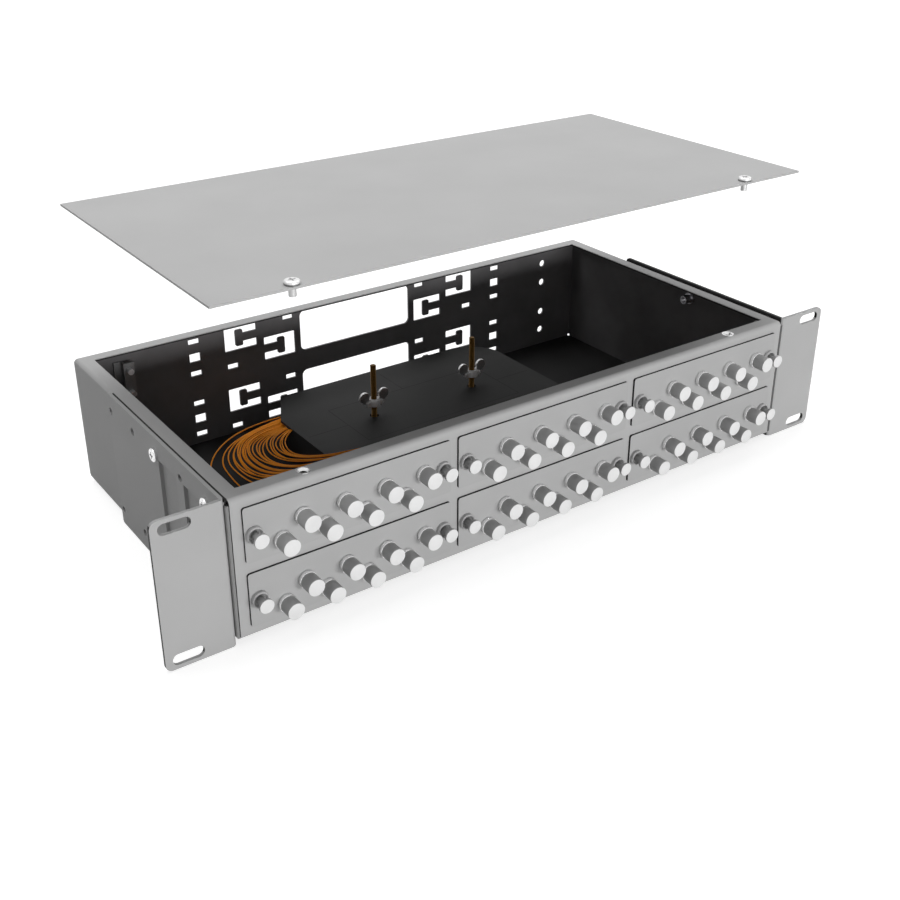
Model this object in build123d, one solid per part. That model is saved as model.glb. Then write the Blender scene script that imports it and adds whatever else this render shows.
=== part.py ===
from build123d import *
import os

# Rack-mounted fibre patch panel, two rack units high, opened: its cover is lifted off.
# X runs along the front to the right, Y goes back into the rack and Z is up.
# The origin is the centre of the four rack slots, on the front plane of the rack ears.
# All sizes are in millimetres.

# Rack front
RACK_WIDTH = 482.6
EAR_HEIGHT = 87.2
EAR_SHEET = 2.0
EAR_DEPTH = 150.0
EAR_BEND = 3.0
EAR_CORNER = 4.0
SLOT_INSET = 12.6
SLOT_SPACING_Z = 76.2
SLOT_LENGTH = 17.3
SLOT_WIDTH = 6.5
EAR_HOLE_PITCH = 32.0
EAR_HOLE_FIRST_Y = 18.0
EAR_HOLE_COUNT = 5
EAR_HOLE_Z = 33.0
EAR_HOLE_RADIUS = 2.25
EAR_WINDOW_DEPTH = 23.2
EAR_WINDOW_HEIGHT = 62.0
EAR_WINDOW_FIRST_Y = 34.9
EAR_WINDOW_CORNER = 1.0
EAR_WINDOW_COUNT = 2

# Case, folded from sheet
SHEET = 1.5
CASE_WIDTH = 404.0
CASE_FRONT_Y = -0.5
CASE_REAR_Y = 211.5
CASE_FLOOR_Z = -40.7
CASE_TOP_Z = 42.3
FLANGE_WIDTH = 10.0
TOP_BEND = 3.0
SIDE_BEND = 2.0
CORNER_SLIT = 0.5
CORNER_RELIEF = 2.6

# Rear wall cut-outs, two equal rows
ROW_OFFSET = 22.1
WINDOW_WIDTH = 89.4
WINDOW_HEIGHT = 29.2
WINDOW_CORNER = 4.0
TIE_X = (-89.6, -60.9, 60.9, 89.6)
TIE_WIDTH = 23.6
TIE_HEIGHT = 16.5
TIE_STEP = 6.35
TONGUE_STEM_WIDTH = 5.6
TONGUE_HEAD_WIDTH = 5.4
TONGUE_HEAD_HEIGHT = 11.6
TONGUE_LENGTH = 15.6
TONGUE_CORNER = 1.2
TIE_CORNER = 0.6
SMALL_SLOT_WIDTH = 7.7
SMALL_SLOT_HEIGHT = 3.6
LARGE_SLOT_HEIGHT = 6.0
COLUMN_X = 123.0
COLUMN_STEP = 11.3
INNER_SLOT_X = 53.8
OUTER_SLOT_X = 96.6
EDGE_SLOT_STEP = 12.9
GLAND_HOLE_INSET = 32.0
GLAND_HOLE_Z = (28.4, 13.1, -11.5, -26.8)
GLAND_HOLE_RADIUS = 2.6

# Adapter plates, three across and two high
FRONT_MARGIN = 5.2
PLATE_GAP_X = 5.3
PLATE_GAP_Z = 6.4
PLATE_HEIGHT = 32.3
PLATE_THICKNESS = 1.5
PLATE_CORNER = 1.5
ADAPTER_INSET = (20.55, 18.095)
ADAPTER_LOW_Z = -8.2
ADAPTER_HIGH_Z = 1.5
ADAPTERS_PER_ROW = 4
ADAPTER_BARREL_RADIUS = 4.0
ADAPTER_RING_RADIUS = 5.1
ADAPTER_RING = 2.7
ADAPTER_REAR_Y = 9.0
ADAPTER_NOSE = 6.0
CAP_RADIUS = 4.87
CAP_FRONT_Y = -13.1
PLATE_OPENING_INSET = (12.15, 9.75)
PLATE_OPENING_HEIGHT = 22.5
PLATE_OPENING_Z = -3.3

# Push-pull plungers that hold the adapter plates
PLUNGER_INSET = 5.35
PLUNGER_HEAD_RADIUS = 4.1
PLUNGER_HEAD = 2.0
PLUNGER_HEAD_ROUND = 0.5
PLUNGER_FRONT_Y = -10.9
PLUNGER_NECK_RADIUS = 2.0
PLUNGER_TIP_Y = 5.5
GROMMET_RADIUS = 4.8
GROMMET_HEIGHT = 2.4
GROMMET_RIM = 0.9
GROMMET_ROUND = 0.4
GROMMET_BOWL = 1.5
GROMMET_SLEEVE_RADIUS = 3.0
GROMMET_BORE_RADIUS = 2.08
GROMMET_REAR_Y = 4.0

# Connectors of the pigtails behind the adapters
CONNECTOR_RADIUS = 4.8
CONNECTOR_NUT = 8.0
BOOT_RADIUS = 2.6
BOOT_TIP_RADIUS = 1.4
BOOT_LENGTH = 22.0

# Splice trays, their lid and the two studs
TRAY_LEFT_X = -85.8
TRAY_RIGHT_X = 100.3
TRAY_CENTRE_Y = 137.3
TRAY_DEPTH = 122.4
TRAY_CHAMFER = (16.8, 32.0)
TRAY_NOSE_RADIUS = 27.0
LID_TOP_Z = -16.0
LID_THICKNESS = 1.5
TRAY_WALL = 1.6
TRAY_PORT_X = (-86.8, -71.8)
TRAY_PORT_Y = (159.0, 185.0)
TRAY_PORT_DEPTH = 5.0
STUD_X = (-31.5, 48.5)
STUD_RADIUS = 1.95
STUD_LENGTH = 60.0
STUD_HEAD_RADIUS = 3.4
STUD_HEAD = 0.8
STUD_HOLE_RADIUS = 3.0
STUD_BOSS_RADIUS = 5.0
HOLDER_LENGTH = 46.0
HOLDER_BASE = 1.2
HOLDER_RIBS = 7
HOLDER_PITCH = 5.0
HOLDER_RIB = (10.0, 1.2, 6.0)

# Wing nuts
WING_NUT_BASE_Z = -8.2
WING_HUB_RADIUS = 4.2
WING_HUB_HEIGHT = 5.0
WING_HUB_TAPER = 0.7
WING_THICKNESS = 1.8
WING_PETAL_RADIUS = 3.5
WING_PETAL_X = 6.9
WING_PETAL_Z = 7.2
WING_BORE_RADIUS = 2.0
WING_ROOT = ((2.6, 0.8), (5.6, 1.4), (10.0, 5.6), (3.8, 5.8), (2.6, 4.4))

# Cover and its screws
COVER_SIDE_GAP = 1.65
COVER_FRONT_Y = 1.1
COVER_REAR_Y = 197.0
COVER_THICKNESS = 1.2
COVER_TOP_Z = 143.3
COVER_SCREW_INSET = 46.4
COVER_SCREW_Y = 5.3
COVER_SCREW_HOLE_RADIUS = 2.2

# Fasteners
SCREW_RADIUS = 1.95
SCREW_HEAD_RADIUS = 4.0
SCREW_HEAD_HEIGHT = 2.4
SCREW_HEAD_ROUND = 1.1
SCREW_RECESS = (0.9, 4.2, 1.3)
COVER_SCREW_LENGTH = 6.0
EAR_SCREW_LENGTH = 8.0
NUT_BODY_RADIUS = 3.1
NUT_BORE_RADIUS = 2.1
NUT_LENGTH = 8.0
NUT_BULGE_RADIUS = 4.1
NUT_BULGE = 1.2
FLANGE_NUT_RADIUS = 3.8
FLANGE_NUT_LIP = 0.3
FLANGE_NUT_RIM = 0.9
FLANGE_NUT_DISH = 1.2
FLANGE_NUT_LENGTH = 7.0

# Cable bracket inside the rear wall
BRACKET_FOOT_INSET = (24.0, 30.0)
BRACKET_HEAD_INSET = (28.5, 35.5)
BRACKET_STANDOFF = 4.5
BRACKET_Z = (7.5, 33.5)
BRACKET_SHEET = 1.5
BRACKET_SCREW_LENGTH = 11.0

# Pigtail fibres, a flat fan that turns from the trays to the front
FAN_Z = (-29.0, -17.5)
FAN_START_X = -66.0
FAN_START_Y = (163.0, 189.0)
FAN_LEFT_X = (-96.0, -156.0)
FAN_MIDDLE_Y = 140.0
FAN_END_Y = 66.0
FAN_END_X = (-90.0, -157.0)
TRUNK_Y = (39.0, 66.0)
TRUNK_X = (-160.0, 178.0)
RISE_Y = (39.0, 50.0)
RISE_TOP_Z = 21.9

HALF = CASE_WIDTH / 2
CASE_MID_Z = (CASE_TOP_Z + CASE_FLOOR_Z) / 2
SLOT_SPACING_X = RACK_WIDTH - 2 * SLOT_INSET
PLATES_PER_ROW = 3
PLATE_PITCH_X = (CASE_WIDTH - 2 * FRONT_MARGIN) / PLATES_PER_ROW
PLATE_PITCH_Z = PLATE_HEIGHT + PLATE_GAP_Z
PLATE_WIDTH = PLATE_PITCH_X - PLATE_GAP_X
PLUNGER_X = PLATE_WIDTH / 2 - PLUNGER_INSET
ADAPTER_PITCH = (PLATE_WIDTH - sum(ADAPTER_INSET)) / (ADAPTERS_PER_ROW - 0.5)
ADAPTER_FIRST_X = ADAPTER_INSET[0] - PLATE_WIDTH / 2
COVER_WIDTH = CASE_WIDTH - 2 * COVER_SIDE_GAP
COVER_SCREW_X = HALF - COVER_SCREW_INSET
GLAND_HOLE_X = HALF - GLAND_HOLE_INSET
BRACKET_FOOT_X = [inset - HALF for inset in BRACKET_FOOT_INSET]
BRACKET_HEAD_X = [inset - HALF for inset in BRACKET_HEAD_INSET]
INNER_HALF = HALF - SHEET
PLATE_FRONT_Y = CASE_FRONT_Y - PLATE_THICKNESS
FLOOR_Z = CASE_FLOOR_Z + SHEET
INNER_REAR_Y = CASE_REAR_Y - SHEET
CASE_DEPTH = CASE_REAR_Y - CASE_FRONT_Y
CASE_CENTRE_Y = (CASE_REAR_Y + CASE_FRONT_Y) / 2
CASE_HEIGHT = CASE_TOP_Z - CASE_FLOOR_Z
EAR_SCREW_Y = (EAR_HOLE_FIRST_Y, EAR_HOLE_FIRST_Y + 2 * EAR_HOLE_PITCH)
PLATE_CENTRES = [
    (column * PLATE_PITCH_X, CASE_MID_Z + row * PLATE_PITCH_Z / 2)
    for row in (1, -1)
    for column in (-1, 0, 1)
]
ADAPTER_PLACES = [
    (ADAPTER_FIRST_X + (place + step) * ADAPTER_PITCH, height)
    for place in range(ADAPTERS_PER_ROW)
    for step, height in ((0, ADAPTER_LOW_Z), (0.5, ADAPTER_HIGH_Z))
]

os.makedirs("parts", exist_ok=True)


def save(name, *solids):
    """Writes the solids of one sub-part."""
    shape = solids[0] if len(solids) == 1 else Compound(children=list(solids))
    export_step(shape, f"parts/{name}.step")


def block(x, y, z):
    """A box between three pairs of limits."""
    size = (x[1] - x[0], y[1] - y[0], z[1] - z[0])
    middle = ((x[0] + x[1]) / 2, (y[0] + y[1]) / 2, (z[0] + z[1]) / 2)
    return Pos(*middle) * Box(*size)


def rod_y(x, z, radius, front, rear):
    """A cylinder along Y between two depths."""
    return Pos(x, (front + rear) / 2, z) * Rot(X=90) * Cylinder(radius, rear - front)


def rod_x(y, z, radius, left, right):
    """A cylinder along X between two places."""
    return Pos((left + right) / 2, y, z) * Rot(Y=90) * Cylinder(radius, right - left)


def rod_z(x, y, radius, bottom, top):
    """A cylinder along Z between two heights."""
    return Pos(x, y, (bottom + top) / 2) * Cylinder(radius, top - bottom)


def turned(points):
    """A body of revolution about Z from (radius, height) points."""
    outline = Polyline(*[(radius, 0, height) for radius, height in points], close=True)
    return revolve(make_face(outline), Axis.Z)


def panel_xz(width, height, radius, y, thickness):
    """A plate with round corners that faces the front, centred on X and Z."""
    sketch = RectangleRounded(width, height, radius)
    return Pos(0, y + thickness, 0) * extrude(Plane.XZ * sketch, thickness)


def pan_screw(length):
    """A pan head screw along Z: the head's seat is at zero and the shank hangs below it."""
    head = Pos(0, 0, SCREW_HEAD_HEIGHT / 2) * Cylinder(SCREW_HEAD_RADIUS, SCREW_HEAD_HEIGHT)
    head = fillet(head.edges().group_by(Axis.Z)[-1], SCREW_HEAD_ROUND)
    shank = Pos(0, 0, -length / 2) * Cylinder(SCREW_RADIUS, length)
    width, reach, depth = SCREW_RECESS
    floor = SCREW_HEAD_HEIGHT - depth / 2
    cross = Pos(0, 0, floor) * (Box(reach, width, depth) + Box(width, reach, depth))
    return head + shank - cross


def rivet_nut():
    """A blind rivet nut along Z: flush at zero, the bulge behind the sheet and the body below."""
    bulge_start = -SHEET
    bulge_end = bulge_start - NUT_BULGE
    return turned([
        (NUT_BORE_RADIUS, 0),
        (NUT_BODY_RADIUS, 0),
        (NUT_BODY_RADIUS, bulge_start),
        (NUT_BULGE_RADIUS, bulge_start),
        (NUT_BULGE_RADIUS, bulge_end),
        (NUT_BODY_RADIUS, bulge_end),
        (NUT_BODY_RADIUS, -NUT_LENGTH),
        (NUT_BORE_RADIUS, -NUT_LENGTH),
    ])


def flange_nut():
    """A rivet nut with a thin bright lip that is dished towards its thread."""
    return turned([
        (NUT_BORE_RADIUS, -FLANGE_NUT_DISH),
        (FLANGE_NUT_RADIUS - FLANGE_NUT_RIM, FLANGE_NUT_LIP),
        (FLANGE_NUT_RADIUS, FLANGE_NUT_LIP),
        (FLANGE_NUT_RADIUS, 0),
        (NUT_BODY_RADIUS, 0),
        (NUT_BODY_RADIUS, -FLANGE_NUT_LENGTH),
        (NUT_BORE_RADIUS, -FLANGE_NUT_LENGTH),
    ])


def tie_opening(side):
    """A cable tie cut-out: a rectangle with a T-shaped tongue that enters from one side."""
    opening = RectangleRounded(TIE_WIDTH, TIE_HEIGHT, TIE_CORNER)
    edge = side * TIE_WIDTH / 2
    head_centre = edge - side * (TONGUE_LENGTH - TONGUE_HEAD_WIDTH / 2)
    stem_length = TONGUE_LENGTH - TONGUE_HEAD_WIDTH / 2
    stem_centre = edge - side * stem_length / 2
    stem = Pos(stem_centre, 0) * Rectangle(stem_length, TONGUE_STEM_WIDTH)
    head = RectangleRounded(TONGUE_HEAD_WIDTH, TONGUE_HEAD_HEIGHT, TONGUE_CORNER)
    return opening - stem - Pos(head_centre, 0) * head


def rear_pattern():
    """The cut-outs of one row of the rear wall, centred on its window."""
    pattern = RectangleRounded(WINDOW_WIDTH, WINDOW_HEIGHT, WINDOW_CORNER)
    steps = (TIE_STEP, -TIE_STEP, -TIE_STEP, TIE_STEP)
    sides = (1, -1, 1, -1)
    for x, step, side in zip(TIE_X, steps, sides):
        pattern += Pos(x, step) * tie_opening(side)
    small = Rectangle(SMALL_SLOT_WIDTH, SMALL_SLOT_HEIGHT)
    for mirror in (-1, 1):
        pattern += Pos(mirror * INNER_SLOT_X, EDGE_SLOT_STEP) * small
        pattern += Pos(mirror * OUTER_SLOT_X, -EDGE_SLOT_STEP) * small
        pattern += Pos(mirror * COLUMN_X, COLUMN_STEP) * small
        pattern += Pos(mirror * COLUMN_X, -COLUMN_STEP) * small
        pattern += Pos(mirror * COLUMN_X, 0) * Rectangle(SMALL_SLOT_WIDTH, LARGE_SLOT_HEIGHT)
    return pattern


def case():
    """The folded box: floor, four walls and the flanges round its open top."""
    outer = Box(CASE_WIDTH, CASE_DEPTH, CASE_HEIGHT)
    outer = fillet(outer.edges().filter_by(Axis.Z).group_by(Axis.Y)[-1], SIDE_BEND)
    outer = fillet(outer.edges().group_by(Axis.Z)[-1], TOP_BEND)
    outer = fillet(outer.edges().group_by(Axis.Z)[0], SIDE_BEND)
    inner = Box(CASE_WIDTH - 2 * SHEET, CASE_DEPTH - 2 * SHEET, CASE_HEIGHT - 2 * SHEET)
    inner = fillet(inner.edges().group_by(Axis.Z)[-1], TOP_BEND - SHEET)
    body = Pos(0, CASE_CENTRE_Y, (CASE_TOP_Z + CASE_FLOOR_Z) / 2) * (outer - inner)
    body -= block(
        (FLANGE_WIDTH - HALF, HALF - FLANGE_WIDTH),
        (CASE_FRONT_Y + FLANGE_WIDTH, CASE_REAR_Y - FLANGE_WIDTH),
        (CASE_TOP_Z - 2 * SHEET, CASE_TOP_Z + 1),
    )
    body -= case_cuts()
    return body


def case_cuts():
    """Everything that is cut through the walls and the floor of the case."""
    cuts = []
    rear = rear_pattern()
    for sign in (1, -1):
        row = Pos(0, CASE_REAR_Y + 1, CASE_MID_Z + sign * ROW_OFFSET)
        cuts.append(row * extrude(Plane.XZ * rear, SHEET + 2))
    for z in GLAND_HOLE_Z:
        for mirror in (-1, 1):
            x = mirror * GLAND_HOLE_X
            cuts.append(rod_y(x, z, GLAND_HOLE_RADIUS, INNER_REAR_Y - 1, CASE_REAR_Y + 1))
    for x, z in PLATE_CENTRES:
        left = x - PLATE_WIDTH / 2 + PLATE_OPENING_INSET[0]
        right = x + PLATE_WIDTH / 2 - PLATE_OPENING_INSET[1]
        middle = z + PLATE_OPENING_Z
        half = PLATE_OPENING_HEIGHT / 2
        cuts.append(block((left, right), (CASE_FRONT_Y - 1, 2 * SHEET), (middle - half, middle + half)))
        for side in (-1, 1):
            hole_x = x + side * PLUNGER_X
            cuts.append(rod_y(hole_x, z, GROMMET_SLEEVE_RADIUS, CASE_FRONT_Y - 1, SHEET))
    for mirror in (-1, 1):
        for y in EAR_SCREW_Y:
            for z in (EAR_HOLE_Z, -EAR_HOLE_Z):
                limits = sorted((mirror * (INNER_HALF - 1), mirror * (HALF + 1)))
                cuts.append(rod_x(y, z, NUT_BODY_RADIUS, *limits))
        screw_x = mirror * COVER_SCREW_X
        cuts.append(rod_z(screw_x, COVER_SCREW_Y, NUT_BODY_RADIUS, CASE_TOP_Z - 3, CASE_TOP_Z + 1))
        slit = sorted((mirror * INNER_HALF, mirror * (INNER_HALF - CORNER_SLIT)))
        slit_top = CASE_TOP_Z - TOP_BEND
        cuts.append(block(slit, (CASE_FRONT_Y - 1, CASE_FRONT_Y + SHEET), (FLOOR_Z, slit_top)))
        notch = sorted((mirror * (INNER_HALF - CORNER_SLIT), mirror * (HALF + 1)))
        notch_y = (CASE_FRONT_Y - 1, CASE_FRONT_Y + TOP_BEND)
        cuts.append(block(notch, notch_y, (slit_top, CASE_TOP_Z + 1)))
        relief = sorted((mirror * (HALF + 1), mirror * (HALF - CORNER_RELIEF)))
        relief_y = (CASE_REAR_Y - CORNER_RELIEF, CASE_REAR_Y + 1)
        cuts.append(block(relief, relief_y, (CASE_FLOOR_Z - 1, CASE_FLOOR_Z + CORNER_RELIEF)))
    for x in STUD_X:
        cuts.append(rod_z(x, TRAY_CENTRE_Y, STUD_RADIUS, CASE_FLOOR_Z - 1, FLOOR_Z + 1))
        head_top = CASE_FLOOR_Z + STUD_HEAD
        cuts.append(rod_z(x, TRAY_CENTRE_Y, STUD_HEAD_RADIUS, CASE_FLOOR_Z - 1, head_top))
    return cuts


def case_walls():
    """The folded case, parted at its bends into the floor, four walls and the flanges."""
    folded = case()
    wide = (-CASE_WIDTH, CASE_WIDTH)
    deep = (-CASE_DEPTH, 2 * CASE_DEPTH)
    between = (CASE_FRONT_Y + SHEET, INNER_REAR_Y)
    under_flange = CASE_TOP_Z - SHEET
    upright = (FLOOR_Z, under_flange)
    regions = {
        "floor": (wide, deep, (CASE_FLOOR_Z - 1, FLOOR_Z)),
        "flanges": (wide, deep, (under_flange, CASE_TOP_Z + 1)),
        "front": (wide, (CASE_FRONT_Y - 1, CASE_FRONT_Y + SHEET), upright),
        "rear": (wide, (INNER_REAR_Y, CASE_REAR_Y + 1), upright),
        "left": ((-CASE_WIDTH, -INNER_HALF), between, upright),
        "right": ((INNER_HALF, CASE_WIDTH), between, upright),
    }
    return {name: folded & block(*limits) for name, limits in regions.items()}


def rack_ear(mirror):
    """One rack ear: a slotted front flange bent into a side flange with windows and holes."""
    outer_x = RACK_WIDTH / 2
    front = block((HALF, outer_x), (0, EAR_SHEET), (-EAR_HEIGHT / 2, EAR_HEIGHT / 2))
    front = fillet(front.edges().filter_by(Axis.Y).group_by(Axis.X)[-1], EAR_CORNER)
    side = block((HALF, HALF + EAR_SHEET), (0, EAR_DEPTH), (-EAR_HEIGHT / 2, EAR_HEIGHT / 2))
    side = fillet(side.edges().filter_by(Axis.X).group_by(Axis.Y)[-1], EAR_SHEET)
    ear = front + side
    bends = ear.edges().filter_by(Axis.Z)
    ear = fillet(bends.sort_by(lambda edge: edge.center().X + edge.center().Y)[0], EAR_BEND)
    slot = extrude(Plane.XZ * SlotOverall(SLOT_LENGTH, SLOT_WIDTH), 4 * EAR_SHEET, both=True)
    for sign in (1, -1):
        ear -= Pos(SLOT_SPACING_X / 2, 0, sign * SLOT_SPACING_Z / 2) * slot
        for index in range(EAR_HOLE_COUNT):
            y = EAR_HOLE_FIRST_Y + index * EAR_HOLE_PITCH
            ear -= rod_x(y, sign * EAR_HOLE_Z, EAR_HOLE_RADIUS, HALF - 1, HALF + EAR_SHEET + 1)
    for index in range(EAR_WINDOW_COUNT):
        y = EAR_WINDOW_FIRST_Y + index * EAR_HOLE_PITCH
        window = Box(3 * EAR_SHEET, EAR_WINDOW_DEPTH, EAR_WINDOW_HEIGHT)
        window = fillet(window.edges().filter_by(Axis.X), EAR_WINDOW_CORNER)
        ear -= Pos(HALF + EAR_SHEET / 2, y, 0) * window
    return ear if mirror > 0 else ear.mirror(Plane.YZ)


def ear_screws(mirror):
    """The four screws that hold one ear to the case."""
    screw = pan_screw(EAR_SCREW_LENGTH)
    places = [(y, z) for y in EAR_SCREW_Y for z in (EAR_HOLE_Z, -EAR_HOLE_Z)]
    seat = mirror * (HALF + EAR_SHEET)
    return [Pos(seat, y, z) * Rot(Y=90 * mirror) * screw for y, z in places]


def wall_nuts(mirror):
    """The rivet nuts of one side wall."""
    nut = rivet_nut()
    places = [(y, z) for y in EAR_SCREW_Y for z in (EAR_HOLE_Z, -EAR_HOLE_Z)]
    return [Pos(mirror * HALF, y, z) * Rot(Y=90 * mirror) * nut for y, z in places]


def cover_nuts():
    """The two bright rivet nuts in the front flange."""
    nut = flange_nut()
    return [Pos(side * COVER_SCREW_X, COVER_SCREW_Y, CASE_TOP_Z) * nut for side in (-1, 1)]


def cover():
    """The flat cover with its two screw holes."""
    z = (COVER_TOP_Z - COVER_THICKNESS, COVER_TOP_Z)
    plate = block((-COVER_WIDTH / 2, COVER_WIDTH / 2), (COVER_FRONT_Y, COVER_REAR_Y), z)
    for side in (-1, 1):
        hole_x = side * COVER_SCREW_X
        plate -= rod_z(hole_x, COVER_SCREW_Y, COVER_SCREW_HOLE_RADIUS, z[0] - 1, z[1] + 1)
    return plate


def cover_screws():
    """The two screws that stay in the cover's front edge."""
    screw = pan_screw(COVER_SCREW_LENGTH)
    return [Pos(side * COVER_SCREW_X, COVER_SCREW_Y, COVER_TOP_Z) * screw for side in (-1, 1)]


def adapter_plate(x, z):
    """A plate with eight adapter holes in a zigzag and a plunger hole at each end."""
    plate = panel_xz(PLATE_WIDTH, PLATE_HEIGHT, PLATE_CORNER, PLATE_FRONT_Y, PLATE_THICKNESS)
    limits = (PLATE_FRONT_Y - 1, CASE_FRONT_Y + 1)
    for hole_x, hole_z in ADAPTER_PLACES:
        plate -= rod_y(hole_x, hole_z, ADAPTER_BARREL_RADIUS, *limits)
    for side in (-1, 1):
        plate -= rod_y(side * PLUNGER_X, 0, GROMMET_SLEEVE_RADIUS, *limits)
    return Pos(x, 0, z) * plate


def adapters(x, z):
    """The round adapters of one plate: a ring on its front and a barrel through it."""
    ring_front = PLATE_FRONT_Y - ADAPTER_RING
    ring = rod_y(0, 0, ADAPTER_RING_RADIUS, ring_front, PLATE_FRONT_Y)
    barrel = rod_y(0, 0, ADAPTER_BARREL_RADIUS, ring_front - ADAPTER_NOSE, ADAPTER_REAR_Y)
    adapter = ring + barrel
    return [Pos(x + place[0], 0, z + place[1]) * adapter for place in ADAPTER_PLACES]


def dust_caps(x, z):
    """The dust caps of one plate, each pushed over an adapter's nose up to its ring."""
    ring_front = PLATE_FRONT_Y - ADAPTER_RING
    cap = rod_y(0, 0, CAP_RADIUS, CAP_FRONT_Y, ring_front)
    cap -= rod_y(0, 0, ADAPTER_BARREL_RADIUS, ring_front - ADAPTER_NOSE, ring_front)
    return [Pos(x + place[0], 0, z + place[1]) * cap for place in ADAPTER_PLACES]


def connector():
    """A pigtail connector along Z: its nut starts at zero and its boot tapers away."""
    return turned([
        (0, 0),
        (CONNECTOR_RADIUS, 0),
        (CONNECTOR_RADIUS, CONNECTOR_NUT),
        (BOOT_RADIUS, CONNECTOR_NUT),
        (BOOT_TIP_RADIUS, CONNECTOR_NUT + BOOT_LENGTH),
        (0, CONNECTOR_NUT + BOOT_LENGTH),
    ])


def connectors(row):
    """The connectors behind one row of three plates."""
    shape = Rot(X=-90) * connector()
    return [
        Pos(x + place[0], ADAPTER_REAR_Y, z + place[1]) * shape
        for x, z in PLATE_CENTRES[PLATES_PER_ROW * row:PLATES_PER_ROW * (row + 1)]
        for place in ADAPTER_PLACES
    ]


def grommets(x, z):
    """The two hollow plunger grommets of one plate, with their sleeves through the front."""
    profile = [
        (GROMMET_BORE_RADIUS, GROMMET_HEIGHT - GROMMET_BOWL),
        (GROMMET_RADIUS - 2 * GROMMET_RIM, GROMMET_HEIGHT - GROMMET_BOWL),
        (GROMMET_RADIUS - GROMMET_RIM, GROMMET_HEIGHT),
        (GROMMET_RADIUS - GROMMET_ROUND, GROMMET_HEIGHT),
        (GROMMET_RADIUS, GROMMET_HEIGHT - GROMMET_ROUND),
        (GROMMET_RADIUS, 0),
        (GROMMET_SLEEVE_RADIUS, 0),
        (GROMMET_SLEEVE_RADIUS, PLATE_FRONT_Y - GROMMET_REAR_Y),
        (GROMMET_BORE_RADIUS, PLATE_FRONT_Y - GROMMET_REAR_Y),
    ]
    grommet = Rot(X=90) * turned(profile)
    return [Pos(x + side * PLUNGER_X, PLATE_FRONT_Y, z) * grommet for side in (-1, 1)]


def plunger(x, z):
    """A plunger, pulled out: its round head stands off the grommet on a thin neck."""
    head_rear = PLUNGER_FRONT_Y + PLUNGER_HEAD
    head = rod_y(x, z, PLUNGER_HEAD_RADIUS, PLUNGER_FRONT_Y, head_rear)
    head = fillet(head.edges().group_by(Axis.Y)[-1], PLUNGER_HEAD_ROUND)
    return head + rod_y(x, z, PLUNGER_NECK_RADIUS, head_rear, PLUNGER_TIP_Y)


def tray_outline(inset):
    """The trays' plan: chamfered left corners and a round nose at the right."""
    left = TRAY_LEFT_X + inset
    right = TRAY_RIGHT_X - inset
    half = TRAY_DEPTH / 2 - inset
    cut_x, cut_y = TRAY_CHAMFER
    nose = TRAY_NOSE_RADIUS - inset
    chamfers = Polyline(
        (right - nose, half),
        (left + cut_x, half),
        (left, half - cut_y),
        (left, cut_y - half),
        (left + cut_x, -half),
        (right - nose, -half),
    )
    front_arc = RadiusArc((right - nose, -half), (right, nose - half), -nose)
    edge = Line((right, nose - half), (right, half - nose))
    rear_arc = RadiusArc((right, half - nose), (right - nose, half), -nose)
    outline = make_face([chamfers, front_arc, edge, rear_arc])
    return Pos(0, TRAY_CENTRE_Y) * outline


def splice_tray(bottom, height):
    """An open tray with a boss round each stud and a fibre port in its rear left corner."""
    tray = Pos(0, 0, bottom) * extrude(tray_outline(0), height)
    tray -= Pos(0, 0, bottom + TRAY_WALL) * extrude(tray_outline(TRAY_WALL), height)
    for x in STUD_X:
        tray += rod_z(x, TRAY_CENTRE_Y, STUD_BOSS_RADIUS, bottom, bottom + height)
    for x in STUD_X:
        tray -= rod_z(x, TRAY_CENTRE_Y, STUD_HOLE_RADIUS, bottom - 1, bottom + height + 1)
    port_z = (bottom + height - TRAY_PORT_DEPTH, bottom + height + 1)
    return tray - block(TRAY_PORT_X, TRAY_PORT_Y, port_z)


def tray_lid():
    """The lid: a flat plate with the trays' outline, drilled for the studs."""
    lid = Pos(0, 0, LID_TOP_Z - LID_THICKNESS) * extrude(tray_outline(0), LID_THICKNESS)
    for x in STUD_X:
        limits = (LID_TOP_Z - 2 * LID_THICKNESS, LID_TOP_Z + 1)
        lid -= rod_z(x, TRAY_CENTRE_Y, STUD_HOLE_RADIUS, *limits)
    return lid


def splice_holder(bottom):
    """A splice holder: a base strip with ribs that clip the splice sleeves between them."""
    centre_x = (STUD_X[0] + STUD_X[1]) / 2
    depth = HOLDER_RIBS * HOLDER_PITCH
    base = Box(HOLDER_LENGTH, depth, HOLDER_BASE)
    holder = Pos(centre_x, TRAY_CENTRE_Y, bottom + HOLDER_BASE / 2) * base
    rib = Box(*HOLDER_RIB)
    for index in range(HOLDER_RIBS):
        y = TRAY_CENTRE_Y - depth / 2 + (index + 0.5) * HOLDER_PITCH
        for side in (-1, 1):
            holder += Pos(centre_x + side * HOLDER_LENGTH / 3, y, bottom + HOLDER_RIB[2] / 2) * rib
    return holder


def tray_stud(x):
    """A threaded stud pressed flush into the floor."""
    stud = rod_z(x, TRAY_CENTRE_Y, STUD_RADIUS, CASE_FLOOR_Z, FLOOR_Z + STUD_LENGTH)
    return stud + rod_z(x, TRAY_CENTRE_Y, STUD_HEAD_RADIUS, CASE_FLOOR_Z, CASE_FLOOR_Z + STUD_HEAD)


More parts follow.
